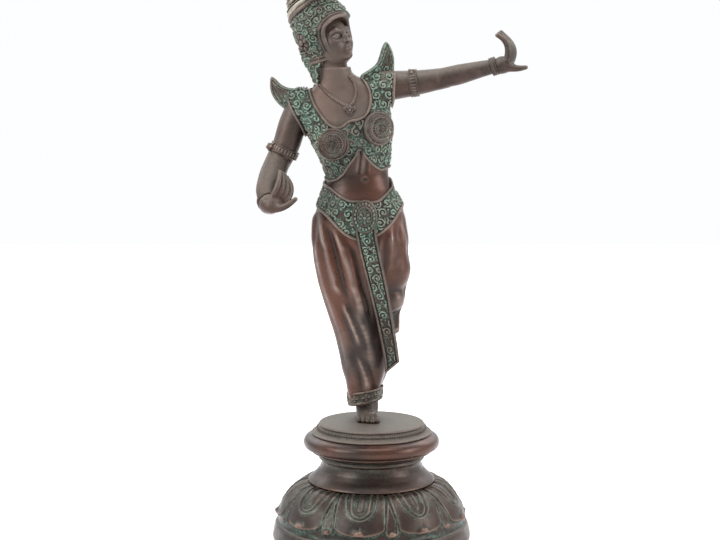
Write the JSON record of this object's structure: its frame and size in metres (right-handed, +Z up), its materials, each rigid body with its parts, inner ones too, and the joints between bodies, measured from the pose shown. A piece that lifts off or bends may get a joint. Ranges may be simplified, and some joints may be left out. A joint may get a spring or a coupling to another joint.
{
  "type": "temple dancer statue",
  "caption": "Bronze classical dancer on one leg on a turned lotus pedestal, one arm stretched out, in a tiered crown, embossed breastplate, girdle and front sash.",
  "frame": {"origin": "on the pedestal's turning axis, at the level the pedestal stands on", "axes": "+Z up along the pedestal's axis, -Y out of the figure's front, +X towards the stretched-out left arm"},
  "size_m": [0.2625, 0.2439, 0.5851],
  "materials": {
    "brown_bronze": "chocolate-brown patina, satin, rubbed lighter on raised folds",
    "skin_bronze": "brown patina with a dusty grey-green bloom, satin",
    "embossed_bronze": "embossed ornament with verdigris in the recesses and worn ridges",
    "pedestal_bronze": "dark brown patina, worn to copper on the edges",
    "steel": "plain turned steel"
  },
  "bodies": {
    "root": {"lotus_foot": "pedestal_bronze", "pedestal_neck": "pedestal_bronze", "pedestal_torus": "pedestal_bronze", "plinth_disc": "pedestal_bronze", "tie_stud": "steel", "washer": "steel", "hex_nut": "steel", "standing_foot": "skin_bronze", "raised_foot": "skin_bronze", "trousers": "brown_bronze", "hem_cuff": "embossed_bronze", "raised_cuff": "embossed_bronze", "torso": "skin_bronze", "belt": "embossed_bronze", "buckle": "embossed_bronze", "sash_panel": "embossed_bronze", "bodice": "embossed_bronze", "breast_disc_right": "embossed_bronze", "breast_disc_left": "embossed_bronze", "epaulette_right": "embossed_bronze", "epaulette_left": "embossed_bronze", "upper_arm_right": "skin_bronze", "upper_arm_left": "skin_bronze", "forearm_right": "skin_bronze", "forearm_left": "skin_bronze", "hand_right": "skin_bronze", "hand_left": "skin_bronze", "armlet_right": "embossed_bronze", "armlet_left": "embossed_bronze", "bangle_right": "embossed_bronze", "bangle_left": "embossed_bronze", "head": "skin_bronze", "crown_cap": "embossed_bronze", "diadem": "brown_bronze", "crown_tiers": "embossed_bronze", "crown_spire": "embossed_bronze", "ear_ornament_right": "embossed_bronze", "ear_ornament_left": "embossed_bronze", "necklace": "skin_bronze", "pendant": "skin_bronze"}
  },
  "joints": []
}
